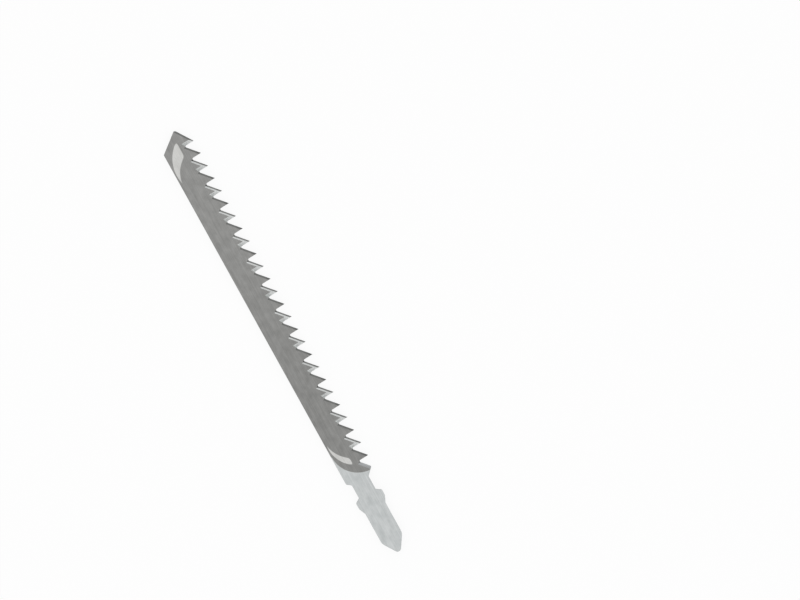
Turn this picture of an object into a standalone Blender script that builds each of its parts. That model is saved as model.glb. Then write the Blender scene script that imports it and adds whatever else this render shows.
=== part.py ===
"""A jigsaw blade with a single-lug shank, lying on its side.

The blade is one piece of hardened steel: a plate stamped to its outline, whose teeth are ground
with alternating bevels and then set, one to each side in turn. +X runs from the shank to the
nose, the teeth stand towards -Y and cut towards the shank, and +Z is the face that looks up. The
origin is the middle of the blade's footprint, at the height of the lowest tooth points.
"""

import math

import bmesh
import bpy
from mathutils import Matrix, Vector

# Plate, in metres
OVERALL_LENGTH = 0.1327  # end of the shank to the corner of the nose
PLATE_THICKNESS = 0.00125
BODY_HEIGHT = 0.0094  # back edge to tooth points
BACK_OFFSET = 0.00395  # middle line of the shank to the back edge
BACK_CORNER_RADIUS = 0.0003

# Nose
NOSE_OFFSET = 0.0019  # middle line of the shank to the corner of the nose
NOSE_BACK_SLOPE = 0.0047  # how far the back edge stops short of the nose
NOSE_TO_FIRST_TIP = 0.0051
FIRST_TIP_DROP = 0.0002  # how much lower the first point is than the others
NOSE_RADIUS = 0.00045

# Tooth outline
TOOTH_PITCH = 0.0040
TOOTH_BACK_ANGLE = math.radians(41)  # back of the tooth to the length of the blade
TOOTH_FRONT_LEAN = math.radians(3)  # front of the tooth out of square, towards the nose
GULLET_RADIUS = 0.00035

# Tooth grinding
FRONT_BEVEL_WIDTH = 0.0009
OUTER_RELIEF_WIDTH = 0.0005  # steep facet along the back, on the face that the tooth is set to
OUTER_RELIEF_DEPTH = 0.0003
INNER_RELIEF_WIDTH = 0.00036  # steep facet along the back, on the other face
FRONT_LAND = 0.00005  # square edge left between this depth and the front bevel
BACK_LAND = 0.00015  # square edge left between the two steep facets
BACK_BEVEL_WIDTH = 0.00043  # shallow facet inside the steep one, on the inner face
BACK_BEVEL_ANGLE = math.radians(25)
FRONT_RUN_OUT = 0.00095  # length in which a front bevel fades out through the gullet
BACK_RUN_OUT = 0.0005  # the same for the facets along a tooth's back
NOSE_RUN_OUT = 0.00095  # the same for the steep facet of the nose's slope, past its corner

# Tooth set
SET_OFFSET = 0.00045  # how far the bend carries a point, of which the relief takes part back
SET_LINE_SHARE = 0.2  # where the bend starts, from the gullet up, as a share of the tooth
SET_STEPS = 3  # straight stretches that make up the bend

# Heel and shoulder, between the last tooth and the shank
HEEL_OFFSET = 0.0046  # middle line of the shank to the heel
HEEL_RADIUS = 0.00025
SHOULDER_DISTANCE = 0.0224  # end of the shank to the foot of the shoulders
SHOULDER_BACK_SLOPE = 0.0009  # how far the back shoulder leans away from square
SHOULDER_FRONT_ANGLE = math.radians(45)
SHOULDER_RADIUS = 0.0005
NECK_FILLET = 0.0006

# Shank
NECK_WIDTH = 0.0053
SHANK_WIDTH = 0.0064
LUG_WIDTH = 0.00816
LUG_HEAD_FOOT = 0.0183  # end of the shank to where the lugs leave the neck
LUG_HEAD = 0.0174  # to the front corner of the lugs
LUG_TAIL = 0.0156  # to the rear corner of the lugs
LUG_TAIL_FOOT = 0.0136  # to where the lugs meet the straight shank
LUG_RADIUS = 0.0004
LUG_TAIL_RADIUS = 0.0008
END_ANGLE = math.radians(33)  # sides of the pointed end to the length of the blade
END_RADIUS = 0.0010
END_SHOULDER_RADIUS = 0.0025

ARC_STEP = math.radians(15)  # longest turn between two points of an arc
OVERCUT = 0.0005  # how far a grinding pass starts outside the metal
CLEARANCE = 0.00003  # how far a facet runs past the edge that it meets

STEEL_COLOUR = (0.41, 0.42, 0.415, 1)
STEEL_ROUGHNESS = 0.38


def tip_offset():
    """Distance of the tooth points from the middle line of the shank."""
    return BODY_HEIGHT - BACK_OFFSET


def full_depth():
    """Depth of a gullet down to its sharp corner, before the radius fills it."""
    return TOOTH_PITCH / (1 / math.tan(TOOTH_BACK_ANGLE) + math.tan(TOOTH_FRONT_LEAN))


def front_run():
    """How far the foot of a tooth's front lies nearer the shank than its point."""
    return full_depth() * math.tan(TOOTH_FRONT_LEAN)


def gullet_offset():
    """Distance of the gullets' sharp corners from the middle line of the shank."""
    return tip_offset() - full_depth()


def gullet_opening():
    """Angle between the two sides of a gullet."""
    return math.pi / 2 + TOOTH_FRONT_LEAN - TOOTH_BACK_ANGLE


def gullet_floor():
    """Height of the rounded gullet's floor above its sharp corner."""
    half = gullet_opening() / 2
    return GULLET_RADIUS * (math.sin(TOOTH_BACK_ANGLE + half) / math.sin(half) - 1)


def gullet_reach():
    """Distance from a gullet's sharp corner to where its radius leaves either side."""
    return GULLET_RADIUS / math.tan(gullet_opening() / 2)


def heel_run():
    """Length in which the slope behind the last gullet rises to the heel."""
    return (HEEL_OFFSET - gullet_offset()) / math.tan(TOOTH_BACK_ANGLE)


def shoulder_start():
    """Distance from the end of the shank to where the shoulder leaves the heel."""
    return SHOULDER_DISTANCE + (HEEL_OFFSET - NECK_WIDTH / 2) * math.tan(SHOULDER_FRONT_ANGLE)


def tooth_tips():
    """X of each tooth point, from the nose to the shank, as many as there is room for."""
    first = OVERALL_LENGTH - NOSE_TO_FIRST_TIP
    room = first - front_run() - heel_run() - shoulder_start()
    return [first - i * TOOTH_PITCH for i in range(int(room / TOOTH_PITCH) + 1)]


def tooth_points():
    """The tooth points, from the nose to the shank. The nose's slope takes the first one down."""
    points = [Vector((tip, -tip_offset())) for tip in tooth_tips()]
    points[0].y += FIRST_TIP_DROP
    return points


def gullet_corner(tip):
    """The sharp corner of the gullet in front of the tooth whose point is at this x."""
    return Vector((tip - front_run(), -gullet_offset()))


def heel_corner():
    """Where the slope behind the last gullet reaches the heel."""
    return Vector((tooth_tips()[-1] - front_run() - heel_run(), -HEEL_OFFSET))


def nose_corner():
    return Vector((OVERALL_LENGTH, -NOSE_OFFSET))


def shank_side(side):
    """Corners (x, y, radius) of one side of the shank, from its end to the neck."""
    end_corner = SHANK_WIDTH / 2 / math.tan(END_ANGLE) - end_overhang()
    return [
        (end_corner, side * SHANK_WIDTH / 2, END_SHOULDER_RADIUS),
        (LUG_TAIL_FOOT, side * SHANK_WIDTH / 2, LUG_TAIL_RADIUS),
        (LUG_TAIL, side * LUG_WIDTH / 2, LUG_TAIL_RADIUS),
        (LUG_HEAD, side * LUG_WIDTH / 2, LUG_RADIUS),
        (LUG_HEAD_FOOT, side * NECK_WIDTH / 2, LUG_RADIUS),
        (SHOULDER_DISTANCE, side * NECK_WIDTH / 2, NECK_FILLET),
    ]


def end_overhang():
    """How far the end's sharp corner would stand out past its round tip."""
    return END_RADIUS * (1 / math.sin(END_ANGLE) - 1)


def blade_corners():
    """Corners (x, y, radius) of the whole outline, anticlockwise as seen from +Z."""
    corners = [(-end_overhang(), 0, END_RADIUS)]
    corners += shank_side(-1)
    corners += [(shoulder_start(), -HEEL_OFFSET, HEEL_RADIUS), (*heel_corner(), HEEL_RADIUS)]
    for point in reversed(tooth_points()):
        corners.append((*gullet_corner(point.x), GULLET_RADIUS))
        corners.append((*point, 0))
    corners += [
        (*nose_corner(), NOSE_RADIUS),
        (OVERALL_LENGTH - NOSE_BACK_SLOPE, BACK_OFFSET, BACK_CORNER_RADIUS),
        (SHOULDER_DISTANCE + SHOULDER_BACK_SLOPE, BACK_OFFSET, SHOULDER_RADIUS),
    ]
    corners += reversed(shank_side(1))
    return corners


def rounded(corners):
    """Points of a closed outline, with each corner (x, y, radius) turned into an arc."""
    points = []
    for i, (x, y, radius) in enumerate(corners):
        corner = Vector((x, y))
        if radius == 0:
            points.append(corner)
            continue
        before = (Vector(corners[i - 1][:2]) - corner).normalized()
        after = (Vector(corners[(i + 1) % len(corners)][:2]) - corner).normalized()
        half = before.angle(after) / 2
        centre = corner + (before + after).normalized() * radius / math.sin(half)
        spoke = corner + before * radius / math.tan(half) - centre
        turn = math.copysign(math.pi - 2 * half, after.cross(before))
        steps = max(1, math.ceil(abs(turn) / ARC_STEP))
        points += [centre + Matrix.Rotation(turn * k / steps, 2) @ spoke for k in range(steps + 1)]
    return points


def plate(name):
    """The stamped plate, halfway between +Z and -Z."""
    bm = bmesh.new()
    lower = [bm.verts.new((p.x, p.y, -PLATE_THICKNESS / 2)) for p in rounded(blade_corners())]
    face = bm.faces.new(lower)
    upper = bmesh.ops.extrude_face_region(bm, geom=[face])["geom"]
    lifted = [item for item in upper if isinstance(item, bmesh.types.BMVert)]
    bmesh.ops.translate(bm, verts=lifted, vec=(0, 0, PLATE_THICKNESS))
    bmesh.ops.recalc_face_normals(bm, faces=bm.faces)
    return new_object(name, bm)


def new_object(name, bm):
    mesh = bpy.data.meshes.new(name)
    bm.to_mesh(mesh)
    bm.free()
    obj = bpy.data.objects.new(name, mesh)
    bpy.context.collection.objects.link(obj)
    return obj


def add_pass(bm, point, corner, into, section, side, run_out):
    """Adds one grinding pass: the metal it takes away along one side of a tooth, from outside its
    point to the gullet's radius, through which it fades out. The metal lies to the left of this
    way where into is 1, and to the right where it is -1. The section lists (inset, depth) from
    the edge and the face. Inside the edge it fades out over its run-out, and outside it just
    short of the gullet's far side, so the foot of the next tooth stays whole."""
    along = (corner - point).normalized()
    inward = Vector((-along.y, along.x)) * into
    start = point - along * OVERCUT
    end = corner - along * gullet_reach()
    deepest = max(depth for _, depth in section)
    first = []
    last = []
    for inset, depth in section:
        z = side * (PLATE_THICKNESS / 2 - depth)
        fade = run_out if inset > -GULLET_RADIUS else GULLET_RADIUS - CLEARANCE
        a = start + inward * inset
        b = end + along * fade * (1 - depth / deepest) + inward * inset
        first.append(bm.verts.new((a.x, a.y, z)))
        last.append(bm.verts.new((b.x, b.y, z)))
    bm.faces.new(first)
    for i in range(len(section) - 2):
        bm.faces.new((last[-1], last[i], last[i + 1]))
    for i in range(len(section)):
        bm.faces.new((first[i - 1], first[i], last[i], last[i - 1]))


def back_pass_section(inner):
    """Section of the pass along a tooth's back. On the inner face a shallow facet comes first."""
    if not inner:
        return pass_section([(OUTER_RELIEF_WIDTH, 0), (0, OUTER_RELIEF_DEPTH)])
    shallow = (INNER_RELIEF_WIDTH, BACK_BEVEL_WIDTH * math.tan(BACK_BEVEL_ANGLE))
    steep = (0, PLATE_THICKNESS - OUTER_RELIEF_DEPTH - BACK_LAND)
    return pass_section([(INNER_RELIEF_WIDTH + BACK_BEVEL_WIDTH, 0), shallow, steep])


def front_pass_section():
    """Section of the pass along a tooth's front, on its inner face."""
    bevel_depth = PLATE_THICKNESS - OUTER_RELIEF_DEPTH - FRONT_LAND
    return pass_section([(FRONT_BEVEL_WIDTH, 0), (0, bevel_depth)])


def pass_section(facets):
    """Section of a pass that grinds these facets, carried on outside the edge as far as the
    middle of the gullet. The last facet runs a little past the edge before it levels off. The
    last point lies in the plate's face."""
    inset, _ = facets[0]
    last_inset, last_depth = facets[-2]
    _, edge_depth = facets[-1]
    floor = edge_depth + CLEARANCE * (edge_depth - last_depth) / last_inset
    above = [(-GULLET_RADIUS, -OVERCUT), (inset, -OVERCUT)]
    outside = [(-CLEARANCE, floor), (-GULLET_RADIUS, floor), (-GULLET_RADIUS, 0)]
    return above + facets[:-1] + outside


def inner_face(i):
    """+1 where tooth i, counted from the nose, is ground from above and set down."""
    return 1 if i % 2 == 0 else -1


def front_passes(side):
    """The front bevels ground from one face, on every other tooth."""
    bm = bmesh.new()
    for i, tip in enumerate(tooth_tips()):
        if inner_face(i) == side:
            point = Vector((tip, -tip_offset()))
            section = front_pass_section()
            add_pass(bm, point, gullet_corner(tip), -1, section, side, FRONT_RUN_OUT)
    bmesh.ops.recalc_face_normals(bm, faces=bm.faces)
    return new_object("front_passes", bm)


def back_passes(side):
    """The facets ground along the back of every tooth, and along the slope up to the heel. The
    first tooth's back is the slope of the nose, which has the steep facet only."""
    bm = bmesh.new()
    points = tooth_points() + [heel_corner()]
    corners = [nose_corner()] + [gullet_corner(tip) for tip in tooth_tips()]
    for i, (point, corner) in enumerate(zip(points, corners)):
        section = back_pass_section(i > 0 and inner_face(i) == side)
        add_pass(bm, point, corner, 1, section, side, BACK_RUN_OUT if i > 0 else NOSE_RUN_OUT)
    bmesh.ops.recalc_face_normals(bm, faces=bm.faces)
    return new_object("back_passes", bm)


def grind(blade, passes):
    """Takes the passes off the blade for good and removes them."""
    for cutter in passes:
        cutter.hide_render = True
        cutter.display_type = "WIRE"
        cut = blade.modifiers.new("grind", "BOOLEAN")
        cut.operation = "DIFFERENCE"
        cut.solver = "EXACT"
        cut.object = cutter
    graph = bpy.context.evaluated_depsgraph_get()
    ground = bpy.data.meshes.new_from_object(blade.evaluated_get(graph))
    blade.modifiers.clear()
    blade.data = ground
    for cutter in passes:
        bpy.data.objects.remove(cutter)


def bend(share):
    """How much of the set a tooth has at this share of its bent height: a curve that steepens
    towards the point, in straight stretches."""
    step = min(int(share * SET_STEPS), SET_STEPS - 1)
    low = (step / SET_STEPS) ** 2
    high = ((step + 1) / SET_STEPS) ** 2
    return low + (high - low) * (share * SET_STEPS - step)


def set_teeth(blade):
    """Bends the teeth out of the plate, each towards its outer face."""
    tips = tooth_tips()
    bent = (full_depth() - gullet_floor()) * (1 - SET_LINE_SHARE)
    bm = bmesh.new()
    bm.from_mesh(blade.data)
    for step in range(SET_STEPS):
        line = (0, bent * (1 - step / SET_STEPS) - tip_offset(), 0)
        everything = bm.verts[:] + bm.edges[:] + bm.faces[:]
        bmesh.ops.bisect_plane(bm, geom=everything, plane_co=line, plane_no=(0, 1, 0))
    for vert in bm.verts:
        above_tip = vert.co.y + tip_offset()
        front = vert.co.x + above_tip * math.tan(TOOTH_FRONT_LEAN)
        i = max(0, math.ceil((tips[0] - front - CLEARANCE) / TOOTH_PITCH))
        if above_tip < bent and i < len(tips):
            vert.co.z -= inner_face(i) * SET_OFFSET * bend(1 - above_tip / bent)
    bm.to_mesh(blade.data)
    bm.free()


def put_origin_under(blade):
    """Moves the mesh so that the origin is under the middle of its box."""
    low = [min(v.co[k] for v in blade.data.vertices) for k in range(3)]
    high = [max(v.co[k] for v in blade.data.vertices) for k in range(3)]
    middle = Vector(((low[0] + high[0]) / 2, (low[1] + high[1]) / 2, low[2]))
    blade.data.transform(Matrix.Translation(-middle))


def steel():
    material = bpy.data.materials.new("blade_steel")
    material.use_nodes = True
    shader = material.node_tree.nodes["Principled BSDF"]
    shader.inputs["Base Color"].default_value = STEEL_COLOUR
    shader.inputs["Metallic"].default_value = 1.0
    shader.inputs["Roughness"].default_value = STEEL_ROUGHNESS
    return material


def main():
    for obj in list(bpy.data.objects):
        bpy.data.objects.remove(obj)
    blade = plate("jigsaw_blade")
    grind(blade, [front_passes(1), front_passes(-1), back_passes(1), back_passes(-1)])
    set_teeth(blade)
    put_origin_under(blade)
    blade.data.materials.clear()
    blade.data.materials.append(steel())


main()
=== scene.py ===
# %% [markdown]
# # A jigsaw blade on a white table
#
# This lesson dresses the solid model of a jigsaw blade for a studio picture. The blade is one
# piece of steel, so the work is in its surfaces: a satin shank, a grey print over the toothed
# length, teeth ground bright on alternate sides, and the edges that the press and the cutter
# left. The solid gives every shape and place, so nothing here has to be fitted to it.

# %% Load the frame
import math

import bpy
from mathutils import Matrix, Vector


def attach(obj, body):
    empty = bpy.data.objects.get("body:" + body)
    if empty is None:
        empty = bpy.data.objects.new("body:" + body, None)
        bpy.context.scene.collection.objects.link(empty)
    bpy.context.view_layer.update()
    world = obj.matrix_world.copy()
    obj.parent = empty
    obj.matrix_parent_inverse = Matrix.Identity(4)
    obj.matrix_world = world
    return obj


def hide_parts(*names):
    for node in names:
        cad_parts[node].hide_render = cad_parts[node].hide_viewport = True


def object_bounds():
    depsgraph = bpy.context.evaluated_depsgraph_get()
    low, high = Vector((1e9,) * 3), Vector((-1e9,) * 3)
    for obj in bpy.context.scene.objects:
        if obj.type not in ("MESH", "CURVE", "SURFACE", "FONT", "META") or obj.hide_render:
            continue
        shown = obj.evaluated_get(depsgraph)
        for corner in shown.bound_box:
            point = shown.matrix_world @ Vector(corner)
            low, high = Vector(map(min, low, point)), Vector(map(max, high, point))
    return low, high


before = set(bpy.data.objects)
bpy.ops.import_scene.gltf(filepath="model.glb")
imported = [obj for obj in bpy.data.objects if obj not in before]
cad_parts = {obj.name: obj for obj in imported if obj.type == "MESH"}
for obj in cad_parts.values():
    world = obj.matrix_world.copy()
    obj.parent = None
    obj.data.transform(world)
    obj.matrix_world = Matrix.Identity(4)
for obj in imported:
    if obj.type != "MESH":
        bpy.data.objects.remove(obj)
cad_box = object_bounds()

MM = 0.001
size_mm = [(high - low) / MM for low, high in zip(*cad_box)]
print("The blade measures", " x ".join(f"{length:.2f}" for length in size_mm), "mm")

# %% [markdown]
# ## The camera
#
# The blade was photographed from straight above. One pixel of that picture is 0.278 mm of the
# blade, which sets how wide the view is at the table. A long lens far away keeps both ends of a
# flat thing at the same scale, as in the picture, where a near camera would swell the middle.

# %% Place the camera
PICTURE = (800, 600)
PIXEL = 0.27797 * MM
BLADE_MIDDLE = (285.9, 341.6)  # where the middle of the blade lies in the picture
BLADE_LEAN = math.radians(28.97)  # of the blade to the picture's upright
CAMERA_HEIGHT = 1.5  # above the face of the blade
NEAR_CLIP = 0.01  # what is nearer than this, or further than the next, isn't drawn
FAR_CLIP = 20

bpy.ops.object.select_all(action="DESELECT")
right = (-math.sin(BLADE_LEAN), -math.cos(BLADE_LEAN))
up = (math.cos(BLADE_LEAN), -math.sin(BLADE_LEAN))
shift_right = (PICTURE[0] / 2 - BLADE_MIDDLE[0]) * PIXEL
shift_up = (BLADE_MIDDLE[1] - PICTURE[1] / 2) * PIXEL
camera_x = right[0] * shift_right + up[0] * shift_up
camera_y = right[1] * shift_right + up[1] * shift_up

bpy.ops.object.camera_add(
    location=(camera_x, camera_y, CAMERA_HEIGHT + cad_box[1][2]),
    rotation=(0, 0, math.atan2(right[1], right[0])),
)
camera = bpy.context.active_object
camera.name = "camera"
camera.data.lens = camera.data.sensor_width * CAMERA_HEIGHT / (PICTURE[0] * PIXEL)
camera.data.clip_start = NEAR_CLIP
camera.data.clip_end = FAR_CLIP
bpy.context.scene.camera = camera
print(f"Camera over {camera_x / MM:.1f}, {camera_y / MM:.1f} mm, lens {camera.data.lens:.0f} mm")

# %% [markdown]
# ## Colours and nodes
#
# Colours are written as they look on a screen, in hex, and Blender mixes light in linear
# numbers, so one function turns the first into the second. Another adds a node, sets it up and
# links what feeds it, which keeps each material short enough to read.

# %% Two helpers
def colour(code):
    """The linear colour of an sRGB hex code such as #8E8E8C."""
    channels = [int(code[i:i + 2], 16) / 255 for i in (1, 3, 5)]
    linear = [c / 12.92 if c <= 0.04045 else ((c + 0.055) / 1.055) ** 2.4 for c in channels]
    return (*linear, 1.0)


def add(tree, kind, inputs=None, **settings):
    """Adds a node. Its inputs are values, sockets, or nodes, which feed it what they make."""
    node = tree.nodes.new(kind)
    for name, value in settings.items():
        setattr(node, name, value)
    for name, value in (inputs or {}).items():
        if isinstance(value, bpy.types.Node):
            value = next(socket for socket in value.outputs if socket.enabled)
        if isinstance(value, bpy.types.NodeSocket):
            tree.links.new(value, node.inputs[name])
        else:
            node.inputs[name].default_value = value
    return node


print("Middle grey on a screen is", round(colour("#808080")[0], 3), "in linear numbers")

# %% [markdown]
# ## Table and light
#
# The table is white and matt. A pale, nearly even surrounding gives most of the light, as a
# light tent does, because bare metal shows what surrounds it. It is a little brighter on the
# side of the shank and the back edge, so the ground facets that face that way stand out from
# the others. One large lamp stands there too. It is weak, because steel mirrors a strong one as
# a white patch wherever the blade is seen against it. In the picture the paper is burnt out
# to white and keeps hardly any shadow. So the camera, and the metal that mirrors the paper, see
# it as partly lit from within, and the rest of it takes the light and the blade's shadow.

# %% Lay the table
TABLE_SIZE = 6  # wide enough to fill every view
PAPER_GLOW = 0.88  # how much of the paper that is seen is lit from within

bpy.ops.object.select_all(action="DESELECT")
bpy.ops.mesh.primitive_plane_add(size=TABLE_SIZE, location=(0, 0, 0))
table = bpy.context.active_object
table.name = "table"

# Paper with a matt coat: an even white with no shine.
paper = bpy.data.materials.new("matt_coated_paper")
paper.use_nodes = True
sheet = paper.node_tree
sheet.nodes.clear()
lit_sheet = add(sheet, "ShaderNodeBsdfPrincipled",
                {"Base Color": colour("#FCFCFC"), "Roughness": 0.9, "Specular IOR Level": 0.1})
burnt_out = add(sheet, "ShaderNodeEmission", {"Color": (1, 1, 1, 1), "Strength": 1.0})
seen = add(sheet, "ShaderNodeLightPath").outputs
direct = add(sheet, "ShaderNodeMath",
             {0: seen["Is Camera Ray"], 1: seen["Is Glossy Ray"]}, operation="MAXIMUM")
shown = add(sheet, "ShaderNodeMath",
            {0: direct, 1: seen["Is Transmission Ray"]}, operation="MAXIMUM")
share = add(sheet, "ShaderNodeMath", {0: shown, 1: PAPER_GLOW}, operation="MULTIPLY")
surface = add(sheet, "ShaderNodeMixShader", {0: share, 1: lit_sheet, 2: burnt_out})
add(sheet, "ShaderNodeOutputMaterial", {"Surface": surface})
table.data.materials.append(paper)
print("Table:", paper.name)

# %% Light the tent
LIT_SIDE = (-0.72, 0.55, 0.42)  # towards the shank and the back edge, and up
TENT_DIM = 0.73
TENT_BRIGHT = 0.97

world = bpy.data.worlds.new("light_tent")
bpy.context.scene.world = world
world.use_nodes = True
tent = world.node_tree
tent.nodes.clear()
ways = add(tent, "ShaderNodeTexCoord")
facing = add(tent, "ShaderNodeVectorMath",
             {0: ways.outputs["Generated"], 1: LIT_SIDE}, operation="DOT_PRODUCT")
brightness = add(tent, "ShaderNodeMapRange",
                 {"Value": facing, "From Min": -1.0, "From Max": 1.0,
                  "To Min": TENT_DIM, "To Max": TENT_BRIGHT})
cloth = add(tent, "ShaderNodeBackground", {"Color": (1, 1, 1, 1), "Strength": brightness})
add(tent, "ShaderNodeOutputWorld", {"Surface": cloth})
print(f"Tent from {TENT_DIM} on the dim side to {TENT_BRIGHT} on the bright one")

# %% Stand the lamp
LAMP_DISTANCE = 1.1
LAMP_SIZE = 1.1
LAMP_POWER = 0.9

reach = math.hypot(*LIT_SIDE)
lamp_place = [part / reach * LAMP_DISTANCE for part in LIT_SIDE]
bpy.ops.object.light_add(type="AREA", location=lamp_place)
lamp = bpy.context.active_object
lamp.name = "side_lamp"
lamp.data.size = LAMP_SIZE
lamp.data.energy = LAMP_POWER
lamp.rotation_euler = (-lamp.location).to_track_quat("-Z", "Y").to_euler()
print(f"Lamp {LAMP_DISTANCE} m away, {LAMP_POWER} W")

# %% [markdown]
# ## The blade
#
# The solid already has the blade's outline, its ground facets and its set. A real blade differs
# from it in two small ways. The press leaves a soft corner along the back, the nose and the
# shank, while the teeth are ground sharp. And the surfaces, which the solid has as one
# material, come from different tools. So the solid's triangles are joined into whole faces,
# the pressed corners are bevelled by 0.06 mm, and every face is then sorted by the tool that
# made it.

# %% Copy the solid and join its triangles
SAME_PLACE = 0.0005 * MM  # corners nearer than this are one corner
SAME_PLANE = math.radians(0.3)  # triangles that turn less than this are one face


def only(piece):
    """Makes this piece the only one that is selected."""
    bpy.ops.object.select_all(action="DESELECT")
    piece.select_set(True)
    bpy.context.view_layer.objects.active = piece


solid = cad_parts["jigsaw_blade"]
blade = bpy.data.objects.new("blade", solid.data.copy())
bpy.context.scene.collection.objects.link(blade)
blade.data.materials.clear()
only(blade)
bpy.ops.mesh.customdata_custom_splitnormals_clear()
bpy.ops.object.mode_set(mode="EDIT")
bpy.ops.mesh.select_all(action="SELECT")
bpy.ops.mesh.remove_doubles(threshold=SAME_PLACE)
bpy.ops.mesh.dissolve_limited(angle_limit=SAME_PLANE)
bpy.ops.mesh.select_all(action="DESELECT")
bpy.ops.object.mode_set(mode="OBJECT")
print(len(solid.data.polygons), "triangles joined into", len(blade.data.polygons), "faces")

# %% Soften the pressed corners
PRESSED_CORNER = 0.06 * MM
CORNER_STEPS = 3
HEEL_X = -41.0 * MM  # the teeth end here, towards the shank
LIES_FLAT = 0.999  # a face of the strip points up or down at least this much
STANDS_UP = 0.02  # and a pressed wall at most this much
FACES_BACK = 0.05  # a wall of the back or the nose faces away from the teeth more than this


def faces_by_edge(mesh):
    """The normals of the faces along each edge."""
    found = {}
    for face in mesh.polygons:
        for key in face.edge_keys:
            found.setdefault(key, []).append(face.normal.copy())
    return found


def is_pressed(edge, mesh, normals):
    """Whether the press, and no grinding wheel, made this corner of the outline."""
    if len(normals) != 2:
        return False
    flat, wall = sorted(normals, key=lambda n: -abs(n.z))
    if abs(flat.z) < LIES_FLAT or abs(wall.z) > STANDS_UP:
        return False
    middle = sum(mesh.vertices[v].co.x for v in edge.vertices) / 2
    return middle < HEEL_X or wall.y > FACES_BACK


mesh = blade.data
neighbours = faces_by_edge(mesh)
only(blade)
bpy.ops.object.mode_set(mode="EDIT")
bpy.context.tool_settings.mesh_select_mode = (False, True, False)
bpy.ops.mesh.select_all(action="DESELECT")
bpy.ops.object.mode_set(mode="OBJECT")
pressed = 0
for edge in mesh.edges:
    edge.select = is_pressed(edge, mesh, neighbours.get(edge.key, []))
    pressed += edge.select
bpy.ops.object.mode_set(mode="EDIT")
bpy.ops.mesh.bevel(offset=PRESSED_CORNER, segments=CORNER_STEPS, affect="EDGES")
# Where a bevel ends in a sharp corner it can leave two corners in one place.
bpy.ops.mesh.select_all(action="SELECT")
bpy.ops.mesh.remove_doubles(threshold=SAME_PLACE)
bpy.ops.mesh.select_all(action="DESELECT")
bpy.ops.object.mode_set(mode="OBJECT")
print(pressed, "edges of the outline softened")

# %% [markdown]
# ## Grain
#
# Every tool leaves lines in steel, and heat and handling leave cloudy patches. Both are noise,
# drawn out to a length, width and height in millimetres and placed on the blade's own Object
# coordinates, so they keep their size and stay where they are in every view. An image of
# brushed metal would have to be unwrapped over hundreds of small facets instead.

# %% Lines and clouds
CLOUDS = (2.6 * MM, 1.7 * MM, 1.7 * MM)
GROOVE_STRENGTH = 0.35
NOISE_DETAIL = 4.0  # how many times the noise adds finer patches
NOISE_ROUGHNESS = 0.6  # and how strong each finer one is
NOISE_RANGE = (0.38, 0.62)  # the middle of the noise, drawn out to the whole of a shade


def grain(tree, size):
    """Noise in patches of this length, width and height, in metres."""
    place = add(tree, "ShaderNodeTexCoord").outputs["Object"]
    fitted = add(tree, "ShaderNodeMapping",
                 {"Vector": place, "Scale": [1 / part for part in size]})
    return add(tree, "ShaderNodeTexNoise",
               {"Vector": fitted, "Scale": 1.0, "Detail": NOISE_DETAIL,
                "Roughness": NOISE_ROUGHNESS})


def worn(tree, lines):
    """From 0 to 1: the lines of the tool and the clouds of heat and handling together."""
    both = add(tree, "ShaderNodeMix", {0: 0.5, 2: lines, 3: grain(tree, CLOUDS)})
    return add(tree, "ShaderNodeMapRange",
               {"Value": both, "From Min": NOISE_RANGE[0], "From Max": NOISE_RANGE[1]})


print("Clouds of", " x ".join(f"{part / MM:.1f}" for part in CLOUDS), "mm")

# %% [markdown]
# ## Bare steel
#
# The blade is high carbon tool steel. Four things were done to it, and each leaves its own
# look: the strip was brushed along its length, the toothed part was screen printed in matt
# grey, the teeth were ground with a wheel, and the outline was pressed and milled. One function
# makes a bare finish from two shades, a roughness and the direction of its lines.

# %% Steel that shows the way it was worked
def steel(name, dark, light, rough, line_size, line_depth):
    """Bare steel, named for how it was worked, with shades and grooves that follow its lines."""
    made = bpy.data.materials.new(name)
    made.use_nodes = True
    tree = made.node_tree
    tree.nodes.clear()
    lines = grain(tree, line_size)
    wear = worn(tree, lines)
    shade = add(tree, "ShaderNodeMix", {0: wear, 6: colour(dark), 7: colour(light)},
                data_type="RGBA")
    dullness = add(tree, "ShaderNodeMapRange",
                   {"Value": wear, "To Min": rough[0], "To Max": rough[1]})
    grooves = add(tree, "ShaderNodeBump",
                  {"Height": lines, "Strength": GROOVE_STRENGTH, "Distance": line_depth})
    shader = add(tree, "ShaderNodeBsdfPrincipled",
                 {"Base Color": shade, "Metallic": 1.0, "Roughness": dullness,
                  "Normal": grooves})
    add(tree, "ShaderNodeOutputMaterial", {"Surface": shader})
    print("Finish:", name)
    return made


# Brush lines are a few hundredths of a millimetre wide, too fine to show, and wheel and cutter
# marks are no coarser, so all of them are drawn as wide as they need to be seen.
BRUSH_LINES = (14 * MM, 0.22 * MM, 0.22 * MM)
WHEEL_LINES = (0.10 * MM, 1.2 * MM, 1.2 * MM)
RELIEF_LINES = (0.15 * MM, 1.0 * MM, 1.0 * MM)
CUTTER_LINES = (0.12 * MM, 0.12 * MM, 1.6 * MM)
LINE_DEPTH = 0.004 * MM
CUTTER_DEPTH = 0.006 * MM
BRUSHED_SHADES = ("#C0C4C4", "#D5D8D8")
BRUSHED_ROUGHNESS = (0.34, 0.42)

# Tool steel brushed along the strip: a cool satin grey, streaked lengthwise.
brushed = steel("brushed_tool_steel", *BRUSHED_SHADES, BRUSHED_ROUGHNESS,
                BRUSH_LINES, LINE_DEPTH)
# Tool steel ground by a wheel: the brightest part, matt, with lines square to the edge.
# Its brightness is partly the real grinding and partly a painted highlight.
ground = steel("wheel_ground_tool_steel", "#D5D7D6", "#E7E9E8", (0.44, 0.54),
               WHEEL_LINES, LINE_DEPTH)
# Tool steel milled: dull, with little shine, and painted dark as painted shade.
relief = steel("milled_tool_steel_painted_shade", "#787977", "#8A8B89", (0.46, 0.56),
               RELIEF_LINES, LINE_DEPTH)
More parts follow.
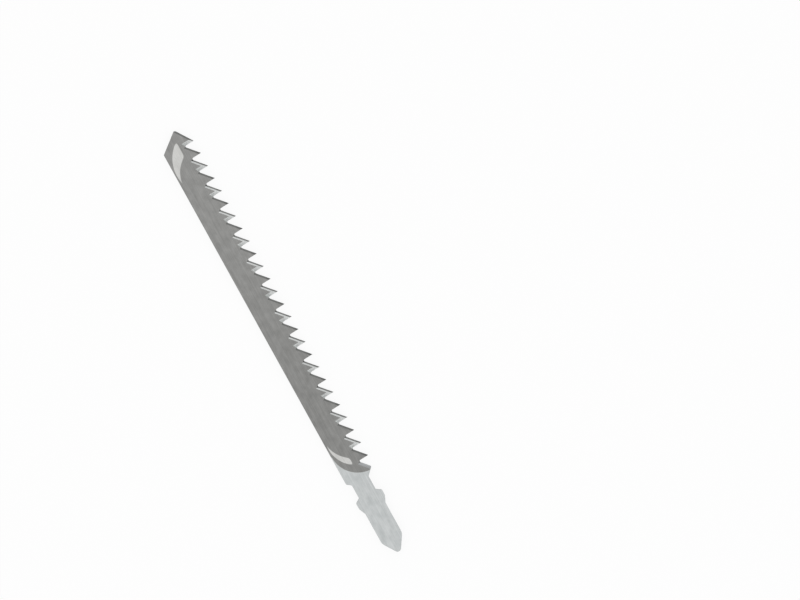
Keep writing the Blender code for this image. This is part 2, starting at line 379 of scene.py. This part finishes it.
# Tool steel cut by press and cutter: middle grey walls, marked across their thickness.
sheared = steel("pressed_tool_steel", "#A6A8A9", "#BABCBD", (0.36, 0.48),
                CUTTER_LINES, CUTTER_DEPTH)

# %% [markdown]
# ## The outline of the print
#
# The print is one matt layer with two bare leaves in it, each the space between two arcs, and
# it ends towards the shank in a third arc. It could be a second mesh laid on the face, but a
# hundredth of a millimetre of ink would flicker there. So masks on the blade's own coordinates
# draw it. Every shape in them is a distance from a point or a line, the least of several
# distances is what they have in common, and a smooth minimum rounds the corner between two.

# %% Draw the print's outline
PRINT_EDGE = 0.06 * MM  # half of the width in which the ink thins out
LEAF_ROUNDING = 1.2 * MM  # how near its corners a leaf's outline starts to turn
# An arc is the x and y of its centre and its radius. A leaf has an outer and an inner arc.
NOSE_LEAF = ((54.94, -5.94, 10.16), (51.32, -4.51, 8.50))
NOSE_LEAF_FOOT = -0.19  # the line it starts from, on the side of the teeth
SHANK_LEAF = ((-31.90, -4.26, 8.42), (-29.60, -4.38, 8.58))
SHANK_LEAF_FOOT = 0.19
PRINT_END = (-34.34, -3.74, 8.19)
FLAT = (1, 1, 0)  # takes the height out of a place


def clear_of(tree, flat, arc):
    """How far a place lies outside a circle given in millimetres, less than 0 inside it."""
    x, y, radius = (part * MM for part in arc)
    from_centre = add(tree, "ShaderNodeVectorMath", {0: flat, 1: (x, y, 0)},
                      operation="DISTANCE")
    return add(tree, "ShaderNodeMath", {0: from_centre, 1: radius}, operation="SUBTRACT")


def leaf(tree, flat, y, arcs, foot):
    """How far a place lies within the outer arc, off the inner one and past the foot."""
    outer, inner = (clear_of(tree, flat, arc) for arc in arcs)
    within = add(tree, "ShaderNodeMath", {0: 0.0, 1: outer}, operation="SUBTRACT")
    crescent = add(tree, "ShaderNodeMath", {0: within, 1: inner}, operation="MINIMUM")
    past_foot = add(tree, "ShaderNodeMath", {0: y, 1: foot * MM}, operation="SUBTRACT")
    return add(tree, "ShaderNodeMath", {0: crescent, 1: past_foot, 2: LEAF_ROUNDING},
               operation="SMOOTH_MIN")


def print_masks(tree):
    """1 where the print reaches, and 1 where the bare leaves in it are."""
    place = add(tree, "ShaderNodeTexCoord").outputs["Object"]
    flat = add(tree, "ShaderNodeVectorMath", {0: place, 1: FLAT}, operation="MULTIPLY")
    x, y = add(tree, "ShaderNodeSeparateXYZ", {"Vector": place}).outputs[:2]
    in_end = add(tree, "ShaderNodeMath", {0: 0.0, 1: clear_of(tree, flat, PRINT_END)},
                 operation="SUBTRACT")
    ahead = add(tree, "ShaderNodeMath", {0: x, 1: PRINT_END[0] * MM}, operation="SUBTRACT")
    reach = add(tree, "ShaderNodeMath", {0: in_end, 1: ahead}, operation="MAXIMUM")
    leaves = add(tree, "ShaderNodeMath",
                 {0: leaf(tree, flat, y, NOSE_LEAF, NOSE_LEAF_FOOT),
                  1: leaf(tree, flat, y, SHANK_LEAF, SHANK_LEAF_FOOT)}, operation="MAXIMUM")
    return [add(tree, "ShaderNodeMapRange",
                {"Value": depth, "From Min": -PRINT_EDGE, "From Max": PRINT_EDGE})
            for depth in (reach, leaves)]


print(f"The print ends at {PRINT_END[0] - PRINT_END[2]:.2f} mm along the blade")

# %% [markdown]
# ## The printed face
#
# The ink is a smooth grey with no metal in it. The same mask that colours the face turns the
# metal off under the ink and raises the ink a hundredth of a millimetre, so its edge catches
# the light. The strip was cleaned where it was to be printed, so the steel in the leaves is a
# little lighter and warmer than on the shank. The ink went on a little thicker towards the
# shank, so it is slightly darker there.

# %% Colour the face
INK_DARK_END = -10 * MM  # the ink has its darkest grey from here on, towards the shank
INK_PALE_END = 40 * MM  # and its palest from here on, towards the nose
LEAF_SHADES = ("#CCCCC9", "#DDDDDB")
THICK_INK_SHADES = ("#7E7E7C", "#929290")
THIN_INK_SHADES = ("#878785", "#9B9B99")

# Tool steel screen printed in matt grey: a soft, slightly cloudy grey that hides the brushing,
# and satin steel where it is left bare.
printed = bpy.data.materials.new("screen_printed_tool_steel")
printed.use_nodes = True
face_tree = printed.node_tree
face_tree.nodes.clear()
reached, leaves = print_masks(face_tree)
ink = add(face_tree, "ShaderNodeMath", {0: reached, 1: leaves}, operation="SUBTRACT",
          use_clamp=True)
lines = grain(face_tree, BRUSH_LINES)
wear = worn(face_tree, lines)
shank_shade, leaf_shade, thick_ink, thin_ink = (
    add(face_tree, "ShaderNodeMix", {0: wear, 6: colour(dark), 7: colour(light)},
        data_type="RGBA")
    for dark, light in (BRUSHED_SHADES, LEAF_SHADES, THICK_INK_SHADES, THIN_INK_SHADES))
place = add(face_tree, "ShaderNodeTexCoord").outputs["Object"]
along = add(face_tree, "ShaderNodeSeparateXYZ", {"Vector": place}).outputs["X"]
thinness = add(face_tree, "ShaderNodeMapRange",
               {"Value": along, "From Min": INK_DARK_END, "From Max": INK_PALE_END})
ink_shade = add(face_tree, "ShaderNodeMix", {0: thinness, 6: thick_ink, 7: thin_ink},
                data_type="RGBA")
bare_shade = add(face_tree, "ShaderNodeMix", {0: reached, 6: shank_shade, 7: leaf_shade},
                 data_type="RGBA")
shade = add(face_tree, "ShaderNodeMix", {0: ink, 6: bare_shade, 7: ink_shade},
            data_type="RGBA")
print("Ink, leaves and shank are coloured")

# %% Give the face its shine
INK_HEIGHT = 0.01 * MM
INK_ROUGHNESS = 0.5

metal = add(face_tree, "ShaderNodeMath", {0: 1.0, 1: ink}, operation="SUBTRACT")
bare_dullness = add(face_tree, "ShaderNodeMapRange",
                    {"Value": wear, "To Min": BRUSHED_ROUGHNESS[0],
                     "To Max": BRUSHED_ROUGHNESS[1]})
dullness = add(face_tree, "ShaderNodeMix", {0: ink, 2: bare_dullness, 3: INK_ROUGHNESS})
grooves = add(face_tree, "ShaderNodeBump",
              {"Height": lines, "Strength": GROOVE_STRENGTH, "Distance": LINE_DEPTH})
step = add(face_tree, "ShaderNodeBump",
           {"Height": ink, "Strength": 1.0, "Distance": INK_HEIGHT, "Normal": grooves})
face_shader = add(face_tree, "ShaderNodeBsdfPrincipled",
                  {"Base Color": shade, "Metallic": metal, "Roughness": dullness,
                   "Normal": step})
add(face_tree, "ShaderNodeOutputMaterial", {"Surface": face_shader})
print("Finish:", printed.name)

# %% [markdown]
# ## Painted shade on the tooth points
#
# The points are painted darker, as painted shade. The steep facet along each tooth's back is
# painted dark all along. The bright front facet is painted dark only where it runs into the
# point, in a strip as wide as that back facet. The strip follows the backs of the teeth, so one
# repeating distance on Object coordinates draws all of them: it is measured square to the backs
# and starts again at each tooth.

# %% Darken the points
TOOTH_PITCH = 4.0 * MM
FIRST_TIP = (61.356 * MM, -4.765 * MM)
TOOTH_BACK_ANGLE = math.radians(41)
POINT_STRIP = (0.32 * MM, 0.46 * MM)  # the painted shade fades out between these distances
POINT_HEIGHT = (0.5 * MM, 1.4 * MM)  # and on the back facet between these, from the point up
# Colours of the painted shade at the points, on the ground and on the milled facets.
PAINTED_SHADE_ON_GROUND = "#888987"
PAINTED_SHADE_ON_RELIEF = "#6A6B69"


def on_strip(tree):
    """1 along the back line of each tooth, 0 further in."""
    sine, cosine = math.sin(TOOTH_BACK_ANGLE), math.cos(TOOTH_BACK_ANGLE)
    place = add(tree, "ShaderNodeTexCoord").outputs["Object"]
    from_tip = add(tree, "ShaderNodeVectorMath", {0: place, 1: (*FIRST_TIP, 0)},
                   operation="SUBTRACT")
    across = add(tree, "ShaderNodeVectorMath", {0: from_tip, 1: (-sine, cosine, 0)},
                 operation="DOT_PRODUCT")
    inset = add(tree, "ShaderNodeMath", {0: across, 1: TOOTH_PITCH * sine},
                operation="FLOORED_MODULO")
    return add(tree, "ShaderNodeMapRange",
               {"Value": inset, "From Min": POINT_STRIP[0], "From Max": POINT_STRIP[1],
                "To Min": 1.0, "To Max": 0.0})


def near_point(tree):
    """1 at the points of the teeth, 0 further up."""
    place = add(tree, "ShaderNodeTexCoord").outputs["Object"]
    y = add(tree, "ShaderNodeSeparateXYZ", {"Vector": place}).outputs["Y"]
    height = add(tree, "ShaderNodeMath", {0: y, 1: FIRST_TIP[1]}, operation="SUBTRACT")
    return add(tree, "ShaderNodeMapRange",
               {"Value": height, "From Min": POINT_HEIGHT[0], "From Max": POINT_HEIGHT[1],
                "To Min": 1.0, "To Max": 0.0})


def darken(made, where, code):
    """Lays this colour over a finish, as far as the mask goes."""
    tree = made.node_tree
    base = tree.nodes["Principled BSDF"].inputs["Base Color"]
    mix = add(tree, "ShaderNodeMix",
              {0: where(tree), 6: base.links[0].from_socket, 7: colour(code)}, data_type="RGBA")
    tree.links.new(mix.outputs["Result"], base)
    # What is laid over here is painted shade on the tooth points.
    print("Scale on", made.name)


# Painted shade: a strip on the front facets by the points, and the back facets near the points.
darken(ground, on_strip, PAINTED_SHADE_ON_GROUND)
darken(relief, near_point, PAINTED_SHADE_ON_RELIEF)

# %% [markdown]
# ## Sort the faces by the tool that made them
#
# Each face's direction says which tool made it. What lies flat, or is only bent a little with
# its tooth, is the brushed face of the strip. What stands upright is the pressed or milled
# edge. What lies between was ground. The fronts of the teeth, towards the shank, and the
# shallow facets along their backs are bright, partly with a painted highlight. The steep facets
# along the backs are painted dark, as painted shade, and so are the slope of the nose and the
# short walls where the back facets run out in a gullet.

# %% Sort and assign
# Each limit is the share of a face's direction that points one way, from -1 to 1.
STRIP_FACE = 0.9  # a face of the strip points up or down more than this
SET_LEAN = 0.12  # and leans less than this along the blade, even where a tooth is bent
BACK_WALL = 0.3  # a wall that faces away from the teeth more than this was pressed
END_WALL = -0.28  # the wall where a back facet runs out faces the points more than this
GULLET_Y = -2.3 * MM  # the facets run out past this line
UPRIGHT = 0.3  # a wall points up or down less than this
FRONT_WALL = -0.75  # the short wall at the end of a front facet faces the points more than this
STEEP = 0.31  # how far a steep back facet leans towards the nose, and a shallow one doesn't
NOSE_SLOPE = 0.1  # the slope from the first point to the nose leans this far at least


def finish_of(face):
    """The finish that the tool which made this face left on it."""
    normal, centre = face.normal, face.center
    flatness = abs(normal.z)
    if flatness > STRIP_FACE and abs(normal.x) < SET_LEAN:
        return printed if normal.z > 0 else brushed
    if centre.x < HEEL_X or normal.y > BACK_WALL:
        return sheared
    if normal.x < 0 and normal.y < END_WALL and centre.y > GULLET_Y:
        return relief
    if flatness < UPRIGHT:
        return sheared
    if normal.y < FRONT_WALL:
        return ground
    if normal.x > STEEP or (normal.x > NOSE_SLOPE and centre.x > FIRST_TIP[0]):
        return relief
    return ground


finishes = [printed, brushed, ground, relief, sheared]
for made in finishes:
    blade.data.materials.append(made)
counts = {made.name: 0 for made in finishes}
for face in blade.data.polygons:
    made = finish_of(face)
    face.material_index = finishes.index(made)
    counts[made.name] += 1
for name, count in counts.items():
    print(count, "faces of", name)

# %% [markdown]
# ## Smooth what is round, keep what is sharp
#
# The teeth are bent in three straight stretches and the corners turn in short steps. Both are
# round on the real blade, so edges of less than 20 degrees are shaded smooth, and the ground
# facets, which meet at more, stay crisp. Weighting the shading by area keeps the large flat
# faces free of streaks.

# %% Shade and finish
SMOOTH_BELOW = math.radians(20)

only(blade)
bpy.ops.object.shade_smooth_by_angle(angle=SMOOTH_BELOW)
weighted = blade.modifiers.new("weighted", "WEIGHTED_NORMAL")
weighted.keep_sharp = True
bpy.ops.object.modifier_apply(modifier=weighted.name)
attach(blade, "root")
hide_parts("jigsaw_blade")

# %% [markdown]
# ## Last settings
#
# Standard shows colours as they are written.

# %% Show colours as written
bpy.context.scene.view_settings.view_transform = "Standard"
